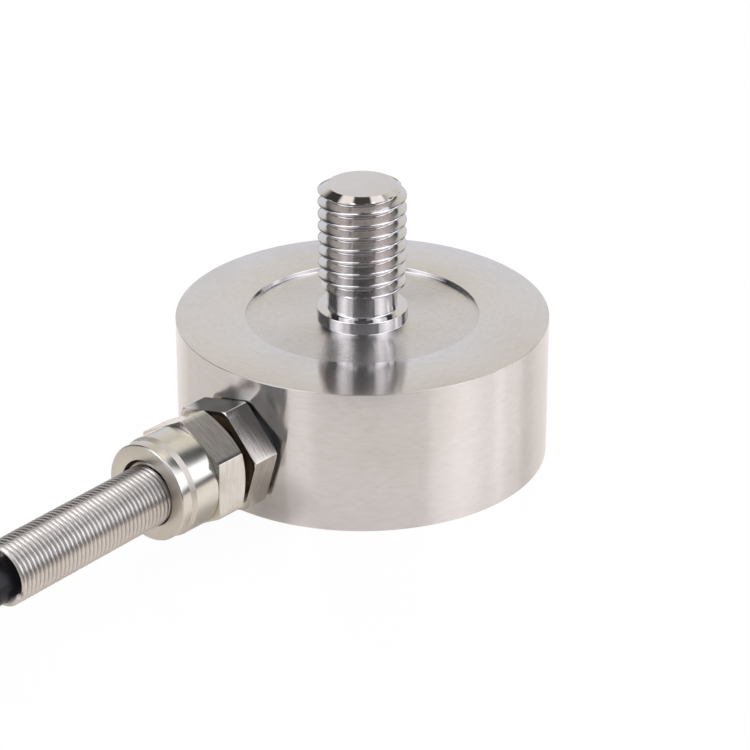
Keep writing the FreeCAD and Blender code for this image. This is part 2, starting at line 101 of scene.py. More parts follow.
# Gland, as distances out along its axis
gland_back = -hex_high.x
body_hex_back = 25.7 * MM
body_hex_front = 29.87 * MM
cap_back = -cap_high.x
clamp_thread_end = cap_back + 2 * MM
cap_hex_front = 35.87 * MM
cap_barrel_front = 39.87 * MM
nose_back = 40.67 * MM
nose_front = -cap_low.x
cap_inner_face = 41.02 * MM
clamp_front = -hex_low.x
across_flats = 13.66 * MM
corner_radius = across_flats / math.sqrt(3)
body_hex_turn = math.radians(73.1)
cap_hex_turn = math.radians(88.8)
corner_chamfer_angle = math.radians(30.0)
cap_corner_chamfer = 0.65 * MM
hex_corner_round = 0.22 * MM
edge_break = 0.12 * MM
barrel_round, cone_round, nose_round = 0.1 * MM, 0.12 * MM, 0.22 * MM
nose_radius = 6.6 * MM
nose_hole_radius = 4.475 * MM
cap_bore_radius = 5.95 * MM
clamp_radius = 5.9 * MM
clamp_thread_root = 5.15 * MM
clamp_thread_pitch = 1.5 * MM
clamp_thread_phase, clamp_thread_slope = 0.35, 2.0
spigot_radius = 6.0 * MM
cable_bore_radius = 2.8 * MM
seal_bore_radius = 4.5 * MM
seal_back = 33.22 * MM

# Bend relief spring
wire_radius = 0.35 * MM
spring_radius = 4.1 * MM
spring_foot_out = 40.12 * MM
spring_foot_radius = 5.5 * MM
spring_drop = 0.3 * MM
spring_droop = math.radians(1.5)
spring_turns = 38.93
spring_flare_from, spring_flare_to = 0.6, 1.6
spring_wander, spring_unevenness = 1.7, 0.012

# Cable, its coil and what is on it
cable_radius = 2.5 * MM
cable_route = [
    (-22.0, 0.0, 9.24), (-44.0, 0.0, 9.24), (-67.5, 0.0, 7.75),
    (-80.5, 0.5, 4.6), (-93.5, 1.0, 3.4), (-106.0, 1.0, 3.4),
]
coil_centre = Vector((-106.0 * MM, 33.5 * MM, 0))
coil_bottom = 0.9 * MM
coil_radii = (22.5 * MM, 27.5 * MM, 32.5 * MM)
coil_layers = 4
coil_end = 81.7
crossover_start, crossover_end = 265.0, 325.0
crossover_bulge = 1.9 * MM
points_per_turn = 24
tie_angles = {"coil_tie_1": 45.0, "coil_tie_2": 222.0}
tie_thickness = 0.8 * MM
tie_width = 4.6 * MM
tie_gap, tie_bend = 0.2 * MM, 1.0 * MM
tie_head, tie_head_round = Vector((3.4 * MM, 7.0 * MM, 5.0 * MM)), 0.7 * MM
tie_tail = Vector((tie_thickness, tie_width * 0.9, 2.0 * MM))
tie_tail_rise = 0.6 * MM
sleeve_radius = 2.75 * MM
sleeve_length = 14.0 * MM
sleeve_clearance = 0.05 * MM
sleeve_fullness, sleeve_lumps = 0.985, ((0.01, 19, 0), (0.006, 43, 1))
sleeve_end_draw, sleeve_end_rows = 0.1, 3
core_spacing = 1.5 * MM
lead_radius = 0.65 * MM
lead_reach = (35.0 * MM, 37.0 * MM, 36.0 * MM, 38.0 * MM)
lead_bends = 4
lead_shift = 0.9 * MM
lead_bare_length = 5.0 * MM
strand_radius = 0.12 * MM
strand_turns, outer_strands = 0.8, 6
core_colours = ("red", "black", "green", "white")

coil_shoulder = coil_bottom + 2 * cable_radius * (coil_layers - 1)
end_lane = coil_radii[1] + cable_radius + sleeve_clearance + sleeve_radius

# Camera, from the picture's perspective
view_turn = math.radians(49.0)
view_rise = math.radians(24.905)
view_roll = -0.00186
view_distance = 0.3942
view_lens = 138.5
view_shift = (0.01683, -0.08424)

# Studio, in degrees round the part from the camera's side and up from level. Each panel has
# its middle, half width, side softness, lowest and highest angle, edge softness, brightness.
room_level = 0.06
studio_panels = [
    (175.0, 45.0, 5.0, -10.0, 34.0, 8.0, 0.84),
    (168.0, 39.0, 7.0, 34.0, 58.0, 8.0, 0.72),
    (154.0, 14.0, 6.0, 38.0, 66.0, 8.0, 0.2),
    (-114.0, 20.0, 6.0, -12.0, 16.0, 5.0, 0.22),
    (0.0, 36.0, 8.0, -10.0, 28.0, 6.0, 0.3),
    (0.0, 36.0, 8.0, 28.0, 50.0, 6.0, 0.11),
    (-59.0, 27.0, 5.0, -10.0, 34.0, 6.0, 1.2),
    (-63.5, 31.5, 3.0, 34.0, 90.0, 6.0, 1.25),
    (102.0, 13.0, 3.0, 10.0, 32.0, 4.0, 1.65),
    (-62.0, 10.0, 10.0, -10.0, 70.0, 8.0, 1.1),
    (69.0, 28.0, 2.0, 6.5, 90.0, 4.0, 1.3),
    (64.0, 11.0, 12.0, -10.0, 70.0, 8.0, 1.1),
]
overhead_start, overhead_fade, overhead_strength = 56.0, 5.0, 1.2
lamp_tint, wall_tint = (0.975, 0.99, 1.08), (1.03, 0.985, 0.92)
wall_across, wall_low, wall_high = (180.0, 50.0, 14.0), 14.0, 30.0

# A dark strip overhead, in degrees across the view and up in it
strip_across, strip_along, strip_level = (0.0, 9.0, 1.5), (85.0, 28.0, 3.0), 0.06

# Floor: what the camera sees, and what the part's metal mirrors
floor_size = 3.0
floor_whiteness, floor_seen = 0.93, 1.04
floor_grey = 0.4
floor_tint = (1.045, 0.985, 0.925)
floor_glow, floor_gloss, floor_roughness = 0.47, 0.16, 0.22
floor_edge, floor_edge_soft, floor_past_edge = 69 * MM, 3 * MM, 0.3
floor_light_reach, floor_dark_from, floor_far_level = 80 * MM, 200 * MM, 0.3
gland_shade_centre = (-31 * MM, -6 * MM, 0.0)
gland_shade, gland_shade_near, gland_shade_far = 0.65, 3 * MM, 9 * MM

# Finishes: base colours and roughness
steel_white, steel_stain = (0.667, 0.652, 0.646), (0.59, 0.56, 0.535)
nickel_white, nickel_stain = (0.655, 0.638, 0.58), (0.60, 0.56, 0.49)
nickel_grain = (0.42, 0.37, 0.34)
wire_white, wire_stain = (0.68, 0.645, 0.605), (0.58, 0.54, 0.50)
stud_roughness, thread_roughness = 0.05, 0.13
recess_roughness, side_roughness = 0.24, 0.13
gland_roughness, cone_roughness, nose_roughness = 0.18, 0.42, 0.3
wire_roughness, wire_foot_roughness = 0.3, 0.28
streak_spread, streak_fineness = 16.0, 110.0
fine_marks, broad_marks = 3200.0, 700.0

# Fineness of the round shapes
body_steps = 192
gland_steps = 144
arc_steps = 4
flat_parts = 14
thread_samples = 24
crest_share, root_share = 0.11, 0.9
spring_steps, wire_sides, strand_sides = 56, 16, 8
sleeve_rows, sleeve_sides = 36, 40

# Angles past which an edge is sharp, and the distances within which points are one
sharp_turned, sharp_cap, sharp_tie = math.radians(24), math.radians(30), math.radians(35)
sharp_swept, sharp_wire = math.radians(40), math.radians(50)
close_weld, thread_weld = 1e-7, 2e-6

# Shares that count as nothing and as all when faces and points are told apart
nearly_none, nearly_all = 0.01, 0.99

up_axis, out_axis = (0.0, 0.0, 1.0), (-1.0, 0.0, 0.0)
gland_centre = (0.0, 0.0, port_height)
gland_frame = Matrix(((0, 0, -1, 0), (-1, 0, 0, 0), (0, 1, 0, port_height), (0, 0, 0, 1)))


# Camera and cable

def new_object(name, data):
    """An object linked to the scene."""
    thing = bpy.data.objects.new(name, data)
    bpy.context.scene.collection.objects.link(thing)
    return thing


def new_curve(name, points):
    """A smooth curve that starts and ends at its end points."""
    data = bpy.data.curves.new(name, "CURVE")
    data.dimensions = "3D"
    spline = data.splines.new("NURBS")
    spline.points.add(len(points) - 1)
    for target, place in zip(spline.points, points):
        target.co = (*place, 1)
    spline.order_u = 3
    spline.use_endpoint_u = True
    return new_object(name, data)


def make_camera():
    """The picture's view: from the gland's side, a little above."""
    data = bpy.data.cameras.new("camera")
    camera = new_object("camera", data)
    back = Vector((
        -math.sin(view_turn) * math.cos(view_rise),
        -math.cos(view_turn) * math.cos(view_rise),
        math.sin(view_rise),
    ))
    camera.rotation_mode = "QUATERNION"
    camera.location = Vector((0, 0, body_height)) + back * view_distance
    roll = Matrix.Rotation(view_roll, 4, "Z").to_quaternion()
    camera.rotation_quaternion = (-back).to_track_quat("-Z", "Y") @ roll
    data.sensor_width = 36.0
    data.lens = view_lens
    data.shift_x, data.shift_y = view_shift
    data.clip_start, data.clip_end = 0.01, 10.0
    bpy.context.scene.camera = camera


def smooth_step(t):
    t = min(max(t, 0.0), 1.0)
    return t * t * (3 - 2 * t)


def coil_point(angle, radius, height):
    """A point of the coil, its angle in degrees turning clockwise from the cable's entry."""
    turn = math.radians(angle)
    return coil_centre + Vector((-radius * math.sin(turn), -radius * math.cos(turn), height))


def coil_lanes():
    """Radius and height of every turn, wound inwards and outwards by turns of the layers."""
    lanes = []
    for layer in range(coil_layers):
        radii = coil_radii if layer % 2 else coil_radii[::-1]
        height = coil_bottom + (2 * layer + 1) * cable_radius
        lanes += [(radius, height) for radius in radii]
    return lanes


def coil_track(angle):
    """The cable's middle at an angle counted through all the turns, with its crossovers."""
    lanes = coil_lanes()
    turn = int((angle + 360 - crossover_end) // 360)
    radius, height = lanes[turn]
    share = smooth_step((angle - 360 * turn - crossover_start) / (crossover_end - crossover_start))
    if share > 0 and turn + 1 < len(lanes):
        next_radius, next_height = lanes[turn + 1]
        if next_height > height:
            side = 1 if radius > coil_radii[1] else -1
            radius += side * crossover_bulge * math.sin(math.pi * share)
        radius += (next_radius - radius) * share if next_height == height else 0
        height += (next_height - height) * share
    return coil_point(angle, radius, height)


def make_cable():
    """The whole cable as one smooth line: the route as listed, then the coil's turns by a loop."""
    end_angle = 360 * (len(coil_lanes()) - 1) + coil_end
    step = 360 / points_per_turn
    corner_reach = 1 / math.cos(math.radians(step / 2))
    points = [Vector(place) * MM for place in cable_route]
    for i in range(1, int(end_angle / step) + 1):
        on_turn = coil_track(i * step)
        centre = Vector((coil_centre.x, coil_centre.y, on_turn.z))
        points.append(centre + (on_turn - centre) * corner_reach)
    inside_sleeve = math.degrees(sleeve_length / 3 / coil_radii[-1])
    points.append(coil_track(end_angle + inside_sleeve))
    cable = new_curve("cable_line", points)
    cable.data.bevel_depth = cable_radius
    cable.data.bevel_resolution = 6
    cable.data.resolution_u = 5
    cable.data.use_fill_caps = True
    return cable


make_camera()
cable = make_cable()


# Node helpers

class Wire:
    """A node's output: sums, products and comparisons of wires become math nodes."""

    def __init__(self, tree, socket):
        self.tree, self.socket = tree, socket

    def math(self, operation, *values):
        return take(self.tree, "ShaderNodeMath", dict(enumerate((self, *values))), operation=operation)

    def __add__(self, other):
        return self.math("ADD", other)

    def __sub__(self, other):
        return self.math("SUBTRACT", other)

    def __mul__(self, other):
        return self.math("MULTIPLY", other)

    def __truediv__(self, other):
        return self.math("DIVIDE", other)

    def __lt__(self, other):
        return self.math("LESS_THAN", other)

    def __gt__(self, other):
        return self.math("GREATER_THAN", other)

    def __abs__(self):
        return self.math("ABSOLUTE")

    def times_plus(self, factor, term):
        return self.math("MULTIPLY_ADD", factor, term)

    def degrees(self):
        return self.math("DEGREES")

    def ranged(self, low, high, to_low=0.0, to_high=1.0, smooth=False):
        """Mapped from one range to another, held at its ends."""
        wires = {"Value": self, "From Min": low, "From Max": high, "To Min": to_low, "To Max": to_high}
        kind = "SMOOTHSTEP" if smooth else "LINEAR"
        return take(self.tree, "ShaderNodeMapRange", wires, "Result", interpolation_type=kind)


def put(tree, kind, wires=None, **settings):
    """A new node, its sockets wired or set from the dictionary."""
    node = tree.nodes.new(kind)
    for key, value in settings.items():
        setattr(node, key, value)
    for key, value in (wires or {}).items():
        if isinstance(value, Wire):
            tree.links.new(value.socket, node.inputs[key])
        else:
            node.inputs[key].default_value = value
    return node


def take(tree, kind, wires=None, output=0, **settings):
    """One output of a new node."""
    return Wire(tree, put(tree, kind, wires, **settings).outputs[output])


def on_vectors(tree, operation, *values, output="Vector"):
    """A vector math node's result."""
    return take(tree, "ShaderNodeVectorMath", dict(enumerate(values)), output, operation=operation)


def scaled(tree, vector, factor):
    return take(tree, "ShaderNodeVectorMath", {0: vector, "Scale": factor}, operation="SCALE")


def axes_of(tree, vector):
    """The three parts of a vector."""
    return [Wire(tree, part) for part in put(tree, "ShaderNodeSeparateXYZ", {0: vector}).outputs]


def geometry_tree(name, lengths, counts, switches=()):
    """A geometry node tree with a named input for each size; also gives the inputs' wires."""
    tree = bpy.data.node_groups.new(name, "GeometryNodeTree")
    for kind, sizes in (("Float", lengths), ("Int", counts), ("Bool", switches)):
        for size in sizes:
            tree.interface.new_socket(size, in_out="INPUT", socket_type="NodeSocket" + kind)
    tree.interface.new_socket("Geometry", in_out="OUTPUT", socket_type="NodeSocketGeometry")
    sockets = tree.nodes.new("NodeGroupInput").outputs
    return tree, {size: Wire(tree, sockets[size]) for size in (*lengths, *counts, *switches)}


def end_tree(tree, geometry, material):
    """Realize Instances and Set Material close every tree."""
    solid = take(tree, "GeometryNodeRealizeInstances", {"Geometry": geometry})
    painted = take(tree, "GeometryNodeSetMaterial", {"Geometry": solid, "Material": material})
    put(tree, "NodeGroupOutput", {"Geometry": painted})


def settled_mesh(thing):
    """Plain mesh of an object with its modifiers or its curve worked out."""
    graph = bpy.context.evaluated_depsgraph_get()
    return bpy.data.meshes.new_from_object(thing.evaluated_get(graph))


def grow(tree, values):
    """Plain mesh that the tree makes from the values given to its named inputs."""
    carrier = new_object(tree.name, bpy.data.meshes.new(tree.name))
    modifier = carrier.modifiers.new(tree.name, "NODES")
    modifier.node_group = tree
    for item in tree.interface.items_tree:
        if item.in_out == "INPUT" and item.name in values:
            modifier[item.identifier] = values[item.name]
    mesh = settled_mesh(carrier)
    bpy.data.objects.remove(carrier)
    return mesh


# Mesh helpers

def rounded(profile):
    """A profile of (radius, height), its corners with a third number drawn as arcs of that radius."""
    line = []
    for index, (r, z, *rounding) in enumerate(profile):
        here = Vector((r, z))
        if not rounding:
            line.append(here)
            continue
        before = Vector(profile[index - 1][:2])
        after = Vector(profile[(index + 1) % len(profile)][:2])
        way_in = (here - before).normalized()
        way_out = (after - here).normalized()
        turn = way_in.angle(way_out)
        cut = rounding[0] * math.tan(turn / 2)
        centre = here + (way_out - way_in).normalized() * math.hypot(rounding[0], cut)
        start = here - way_in * cut - centre
        sense = 1 if way_in.x * way_out.y - way_in.y * way_out.x > 0 else -1
        for k in range(arc_steps + 1):
            swing = sense * turn * k / arc_steps
            line.append(centre + Vector((
                start.x * math.cos(swing) - start.y * math.sin(swing),
                start.x * math.sin(swing) + start.y * math.cos(swing),
            )))
    return line


def ring_points(radius, height, steps):
    if radius < 1e-9:
        return [Vector((0, 0, height))]
    turns = [2 * math.pi * i / steps for i in range(steps)]
    return [Vector((radius * math.cos(turn), radius * math.sin(turn), height)) for turn in turns]


def circles(profile, steps=gland_steps):
    """The rings of a turned shape, from its profile."""
    return [ring_points(p.x, p.y, steps) for p in rounded(profile)]


def turn_of(vert):
    return math.atan2(vert.co.y, vert.co.x) % (2 * math.pi)


def stitch(bm, low, high):
    """Triangles between two rings of unlike counts, taken in the order of their angles."""
    sides = []
    for ring in (low, high):
        around = sorted(ring, key=turn_of)
        turns = [turn_of(vert) for vert in around]
        sides.append((around + around[:1], turns + [turns[0] + 2 * math.pi]))
    (first, first_turns), (second, second_turns) = sides
    i = j = 0
    while i + 1 < len(first) or j + 1 < len(second):
        if j + 1 == len(second) or (i + 1 < len(first) and first_turns[i + 1] <= second_turns[j + 1]):
            bm.faces.new([first[i], first[i + 1], second[j]])
            i += 1
        else:
            bm.faces.new([first[i], second[j + 1], second[j]])
            j += 1


def skin(bm, rings, closed=False):
    """Faces from ring to ring; a ring of one point is a pole, and unlike rings are stitched."""
    made = [[bm.verts.new(p) for p in ring] for ring in rings]
    pairs = list(zip(made, made[1:]))
    if closed:
        pairs.append((made[-1], made[0]))
    for low, high in pairs:
        count = max(len(low), len(high))
        if count == 1:
            continue
        if len(low) == len(high) or min(len(low), len(high)) == 1:
            for i in range(count):
                j = (i + 1) % count
                corners = [low[i % len(low)], low[j % len(low)], high[j % len(high)], high[i % len(high)]]
                bm.faces.new(list(dict.fromkeys(corners)))
            continue
        stitch(bm, low, high)


def mesh_of(bm, name):
    """The finished bmesh as a plain mesh."""
    mesh = bpy.data.meshes.new(name)
    bm.to_mesh(mesh)
    bm.free()
    return mesh


def shade(mesh, sharp):
    mesh.shade_smooth()
    mesh.set_sharp_from_angle(angle=sharp)


def finish_mesh(bm, name, transform=None, sharp=sharp_turned, weld=close_weld):
    """Welded, outward-facing and smooth-shaded mesh object with its sharp edges marked."""
    bmesh.ops.remove_doubles(bm, verts=bm.verts, dist=weld)
    bmesh.ops.recalc_face_normals(bm, faces=bm.faces)
    mesh = mesh_of(bm, name)
    if transform is not None:
        mesh.transform(transform)
    shade(mesh, sharp)
    return new_object(name, mesh)


def seated(piece, material, slot, *replaced):
    """The piece takes its material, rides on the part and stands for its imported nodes."""
    piece.data.materials.clear()
    piece.data.materials.append(material)
    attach(piece, "root")
    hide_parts(*replaced)
    return piece


def thread_tree(material):
    """A helical strip with a thread's profile, cut back by a cone at each end."""
    tree, size = geometry_tree("thread_wall", (
        "Crest radius", "Root radius", "Pitch", "Phase", "Base", "Start", "Start radius", "Start slope",
        "End", "End radius", "End slope"), ("Steps", "Samples", "Turns"), ("Inside",))
    counts = {"Vertices X": size["Turns"] * size["Steps"] + 1, "Vertices Y": size["Samples"] + 1}
    grid = take(tree, "GeometryNodeMeshGrid", counts)
    x, y, _ = axes_of(tree, take(tree, "GeometryNodeInputPosition"))
    turn = (x + 0.5) * size["Turns"]
    share = y + 0.5
    height = (turn + share + size["Phase"]).times_plus(size["Pitch"], size["Base"])
    from_crest = abs(share.times_plus(2.0, -1.0))
    wall = from_crest.ranged(crest_share, root_share, size["Crest radius"], size["Root radius"])
    start_cone = (height - size["Start"]).times_plus(size["Start slope"], size["Start radius"])
    end_cone = (size["End"] - height).times_plus(size["End slope"], size["End radius"])
    outer = wall.math("MINIMUM", start_cone)
    inner = wall.math("MAXIMUM", start_cone)
    either = {"Switch": size["Inside"], "False": outer, "True": inner}
    radius = take(tree, "GeometryNodeSwitch", either, input_type="FLOAT").math("MINIMUM", end_cone)
    angle = turn * (2 * math.pi)
    position = take(tree, "ShaderNodeCombineXYZ", {
        0: radius * angle.math("COSINE"), 1: radius * angle.math("SINE"), 2: height})
    strip = take(tree, "GeometryNodeSetPosition", {"Geometry": grid, "Position": position})
    welded = take(tree, "GeometryNodeMergeByDistance", {"Geometry": strip, "Distance": close_weld})
    end_tree(tree, welded, material)
    return tree


def add_thread(bm, tree, steps, crest, root, pitch, phase, start, end, inside=False):
    """The thread's strip, cut level at both ends so that plain rings weld to it.

    Start and end are each a height, the radius there and the slope of the cone that begins there.
    """
    (low, low_radius, low_slope), (high, high_radius, high_slope) = start, end
    base = low - 2 * pitch
    mesh = grow(tree, {
        "Crest radius": crest, "Root radius": root, "Pitch": pitch, "Phase": phase, "Base": base,
        "Start": low, "Start radius": low_radius, "Start slope": low_slope,
        "End": high, "End radius": high_radius, "End slope": high_slope, "Inside": inside,
        "Steps": steps, "Samples": thread_samples, "Turns": math.ceil((high - base) / pitch) + 2,
    })
    strip = bmesh.new()
    strip.from_mesh(mesh)
    for level, normal in ((low, (0, 0, -1)), (high, (0, 0, 1))):
        everything = strip.verts[:] + strip.edges[:] + strip.faces[:]
        bmesh.ops.bisect_plane(strip, geom=everything, plane_co=(0, 0, level), plane_no=normal,
                               clear_outer=True, dist=1e-9)
    step = 2 * math.pi / steps
    spare = []
    for vert in strip.verts:
        if vert.is_boundary:
            off = math.atan2(vert.co.y, vert.co.x) / step
            if abs(off - round(off)) > nearly_none:
                spare.append(vert)
            at_start = abs(vert.co.z - low) < abs(vert.co.z - high)
            vert.co.xy *= (low_radius if at_start else high_radius) / vert.co.xy.length
    bmesh.ops.dissolve_verts(strip, verts=spare)
    cut = mesh_of(strip, "thread_cut")
    bm.from_mesh(cut)
    bpy.data.meshes.remove(cut)
    bpy.data.meshes.remove(mesh)


# Materials

def new_material(name):
    """A material with an empty node tree, and that tree."""
    material = bpy.data.materials.new(name)
    material.use_nodes = True
    material.node_tree.nodes.clear()
    return material, material.node_tree


def principled(material, sockets):
    """The shader that closes a material's tree."""
    shader = take(material.node_tree, "ShaderNodeBsdfPrincipled", sockets)
    put(material.node_tree, "ShaderNodeOutputMaterial", {"Surface": shader})
    return material


def object_place(tree):
    return take(tree, "ShaderNodeTexCoord", None, "Object")


def noise(tree, vector, scale, detail=2.0, roughness=0.5):
    wires = {"Vector": vector, "Scale": scale, "Detail": detail, "Roughness": roughness}
    return take(tree, "ShaderNodeTexNoise", wires)


def line_noise(tree, value, scale, detail):
    wires = {"W": value, "Scale": scale, "Detail": detail}
    return take(tree, "ShaderNodeTexNoise", wires, noise_dimensions="1D")


def bump(tree, height, strength, distance):
    return take(tree, "ShaderNodeBump", {"Height": height, "Strength": strength, "Distance": distance})


def mixed_colour(tree, share, first, second):
    """Blend of two colours: sockets 6 and 7 and output 2 are the mix node's colours."""
    wires = {0: share, 6: (*first, 1), 7: (*second, 1)}
    return take(tree, "ShaderNodeMix", wires, 2, data_type="RGBA")


def distance_from_axis(tree, place, axis, centre):
    """Distance from an axis, distance along it and the way round it, for the marks of turning."""
    moved = on_vectors(tree, "SUBTRACT", place, centre)
    along = on_vectors(tree, "DOT_PRODUCT", moved, axis, output="Value")
    off = on_vectors(tree, "SUBTRACT", moved, scaled(tree, axis, along))
    away = on_vectors(tree, "LENGTH", off, output="Value")
    return away, along, on_vectors(tree, "NORMALIZE", off)


def turned_metal(name, colours, polish, marks, axis, centre, tangent, dulling=(0.12, 0.42)):
    """Metal with the fine circular marks of a lathe tool, faint smudges and uneven polish.

    The polish function gives the roughness from the distances off and along the axis.
    """
    material, tree = new_material(name)
    anisotropy, groove_depth = marks
    place = object_place(tree)
    away, along, around = distance_from_axis(tree, place, axis, centre)
    travel = away + along
    streaks = take(tree, "ShaderNodeTexNoise", {
        "Vector": around, "W": travel * streak_fineness, "Scale": streak_spread,
        "Detail": 3.0, "Roughness": 0.6}, noise_dimensions="4D")
    fine = line_noise(tree, travel, fine_marks, 2.0)
    broad = line_noise(tree, travel, broad_marks, 1.0)
    cloud = noise(tree, place, 140.0, 3.0, 0.6)
    smudge = noise(tree, place, 60.0, 4.0, 0.55).ranged(0.45, 0.75, smooth=True)
    streaky = streaks.ranged(0.3, 0.75, 0.0, 0.6)
    finish = polish(away, along)
    tint = finish.ranged(*dulling) + smudge.times_plus(0.6, streaky)
    uneven = streaks.times_plus(0.1, cloud.ranged(0.3, 0.7, 0.88, 1.14))
    return principled(material, {
        "Base Color": mixed_colour(tree, tint, *colours),
        "Metallic": 1.0,
        "Roughness": uneven * finish,
        "Anisotropic": anisotropy,
        "Anisotropic Rotation": 0.25,
        "Tangent": take(tree, "ShaderNodeTangent", direction_type="RADIAL", axis=tangent),
        "Normal": bump(tree, broad.times_plus(0.6, fine), 0.3, groove_depth),
    })


def body_polish(away, along):
    """Bright stud and collar, duller threads, satin recess floor, crisp step, finer annulus and side."""
    in_recess = away < recess_radius - rim_round
    on_top = along > body_height - 2 * recess_depth
    face = (in_recess * on_top).ranged(0.0, 1.0, side_roughness, recess_roughness)
    stud = (away < collar_radius + rim_round) * on_top
    bright = stud * (face - stud_roughness)
    threads = (along > neck_top) * (along < body_high.z - tip_height)
    at_step = abs(away - recess_radius) < rim_round
    step = at_step * on_top * (along < body_height - rim_round)
    crisp = step.times_plus(stud_roughness - side_roughness, face - bright)
    return threads.times_plus(thread_roughness - stud_roughness, crisp)


def gland_polish(away, along):
    """Bright plating on the barrel, a little duller on the cone and on the nose's front face."""
    cone = (along > cap_barrel_front) * (along < nose_back)
    front = along.ranged(nose_front - edge_break, nose_front, gland_roughness, nose_roughness)
    return cone.times_plus(cone_roughness - gland_roughness, front)


def wire_polish(away, along):
    """Drawing marks along the wire, lighter on the foot coil that the nose's hole rubs."""
    foot_end = spring_foot_out + 4 * wire_radius
    return along.ranged(spring_foot_out, foot_end, wire_foot_roughness, wire_roughness)


def brushed_nickel(name, colour, stain, roughness, groove_depth, grain_share=0.0):
    """Nickel plating over fine brushing that runs round the gland, with scattered scratches."""
    material, tree = new_material(name)
    place = object_place(tree)
    stretched = take(tree, "ShaderNodeMapping", {"Vector": place, "Scale": (1.0, 0.08, 0.08)})
    brushing = noise(tree, stretched, 3600.0, 3.0, 0.6)
    grain = brushing.ranged(0.35, 0.7)
    cross = take(tree, "ShaderNodeMapping", {
        "Vector": place, "Rotation": (0.6, 0.35, 0.5), "Scale": (0.05, 1.0, 0.6)})
    scratch = noise(tree, cross, 2600.0).ranged(0.66, 0.8, smooth=True)
    cloud = noise(tree, place, 260.0, 3.0, 0.6)
    tint = grain.times_plus(grain_share, cloud.ranged(0.42, 0.75, 0.0, 0.6))
    polish = cloud.ranged(0.3, 0.7, roughness * 0.8, roughness * 1.25)
    return principled(material, {
        "Base Color": mixed_colour(tree, tint, colour, stain),
        "Metallic": 1.0,
        "Roughness": scratch.times_plus(0.12, polish),
        "Normal": bump(tree, scratch.times_plus(-0.5, brushing), 0.35, groove_depth),
    })


def moulded(name, colour, roughness, mottle=0.15, shine=0.5):
    """Plastic, rubber or enamel with a slight mottle and a fine moulded grain."""
    material, tree = new_material(name)
    place = object_place(tree)
    cloud = noise(tree, place, 220.0, 3.0)
    lighter = tuple(min(1.0, c * (1 + mottle) + 0.01 * mottle) for c in colour)
    return principled(material, {
        "Base Color": mixed_colour(tree, cloud, colour, lighter),
        "Roughness": cloud.ranged(0.3, 0.7, roughness * 0.85, roughness * 1.15),
        "Specular IOR Level": shine,
        "Normal": bump(tree, noise(tree, place, 900.0), 0.25, 0.00002),
    })


def foil_gauge(name, film, foil):
    """Amber film with the gauge's metal grid lines."""
    material, tree = new_material(name)
    wires = {"Vector": object_place(tree), "Scale": 900.0}
    lines = take(tree, "ShaderNodeTexWave", wires, 1, bands_direction="DIAGONAL")
    grid = lines.ranged(0.55, 0.6)
    colour = mixed_colour(tree, grid, film, foil)
    return principled(material, {"Base Color": colour, "Metallic": grid, "Roughness": 0.35})


stainless = turned_metal("turned_stainless", (steel_white, steel_stain), body_polish,
                         (0.9, 0.000004), up_axis, (0.0, 0.0, 0.0), "Z")
nickel_turned = turned_metal("nickel_on_turned_brass", (nickel_white, nickel_stain), gland_polish,
                             (0.6, 0.000004), out_axis, gland_centre, "X", (0.3, 0.6))
nickel_flats = brushed_nickel("nickel_on_brushed_flats", nickel_white, nickel_grain, 0.16, 0.00003, 0.42)
# Dark brown on the clamp thread between the hexagons is painted shade in that gap.
gap_shade_thread = brushed_nickel("oiled_clamp_thread", (0.13, 0.10, 0.07), (0.07, 0.05, 0.03), 0.35, 0.00001)
spring_steel = turned_metal("drawn_spring_wire", (wire_white, wire_stain), wire_polish,
                            (0.95, 0.0000005), out_axis, gland_centre, "X", (0.3, 0.6))
jacket = moulded("black_jacket", (0.006, 0.006, 0.009), 0.3, 0.4, shine=0.3)
tie_nylon = moulded("black_nylon", (0.022, 0.022, 0.022), 0.45, 0.3)
sleeve_black = moulded("shrunk_sleeve", (0.016, 0.016, 0.016), 0.5, 0.3)
tinned = brushed_nickel("tinned_strands", (0.75, 0.74, 0.72), (0.6, 0.6, 0.58), 0.3, 0.000008)
core_paint = {
    "red": moulded("red_core", (0.45, 0.012, 0.012), 0.35),
    "black": moulded("black_core", (0.015, 0.015, 0.016), 0.35),
    "green": moulded("green_core", (0.012, 0.22, 0.05), 0.35),
    "white": moulded("white_core", (0.75, 0.75, 0.72), 0.35, 0.05),
}
inner_paint = {
    "gauge_foil": foil_gauge("gauge_film", (0.55, 0.30, 0.06), (0.55, 0.52, 0.48)),
    "copper_wire": moulded("enamelled_wire", (0.45, 0.16, 0.06), 0.3),
    "insulator": moulded("insulating_film", (0.68, 0.64, 0.52), 0.4),
    "circuit_board": moulded("board_mask", (0.02, 0.16, 0.06), 0.3),
    "solder": brushed_nickel("tin_solder", (0.72, 0.72, 0.70), (0.6, 0.6, 0.58), 0.35, 0.00001),
    "resistor": moulded("resistor_body", (0.02, 0.02, 0.022), 0.35),
    "potting": moulded("potting_resin", (0.20, 0.11, 0.03), 0.25),
    "seal_rubber": moulded("seal_rubber", (0.02, 0.02, 0.02), 0.6, 0.3),
    "nickel_plate": nickel_turned,
}


# Sensing body

def body_profile():
    """The body's section below the stud's thread, from the neck's top down to the hub."""
    recess_floor = body_height - recess_depth
    return [
        (neck_radius, neck_top),
        (neck_radius, collar_top, neck_round),
        (collar_radius, collar_top, collar_round),
        (collar_radius, recess_floor, collar_foot_round),
        (recess_radius, recess_floor, recess_floor_round),
        (recess_radius, body_height, recess_edge_round),
        (body_radius, body_height, rim_round),
        (body_radius, 0, rim_round),
        (plate_seat_radius, 0, rim_round),
        (plate_seat_radius, plate_top),
        (cavity_radius, plate_top),
        (cavity_radius, membrane_under, membrane_round),
        (hub_radius, membrane_under, membrane_round),
        (hub_radius, hub_bottom),
        (0, hub_bottom),
    ]


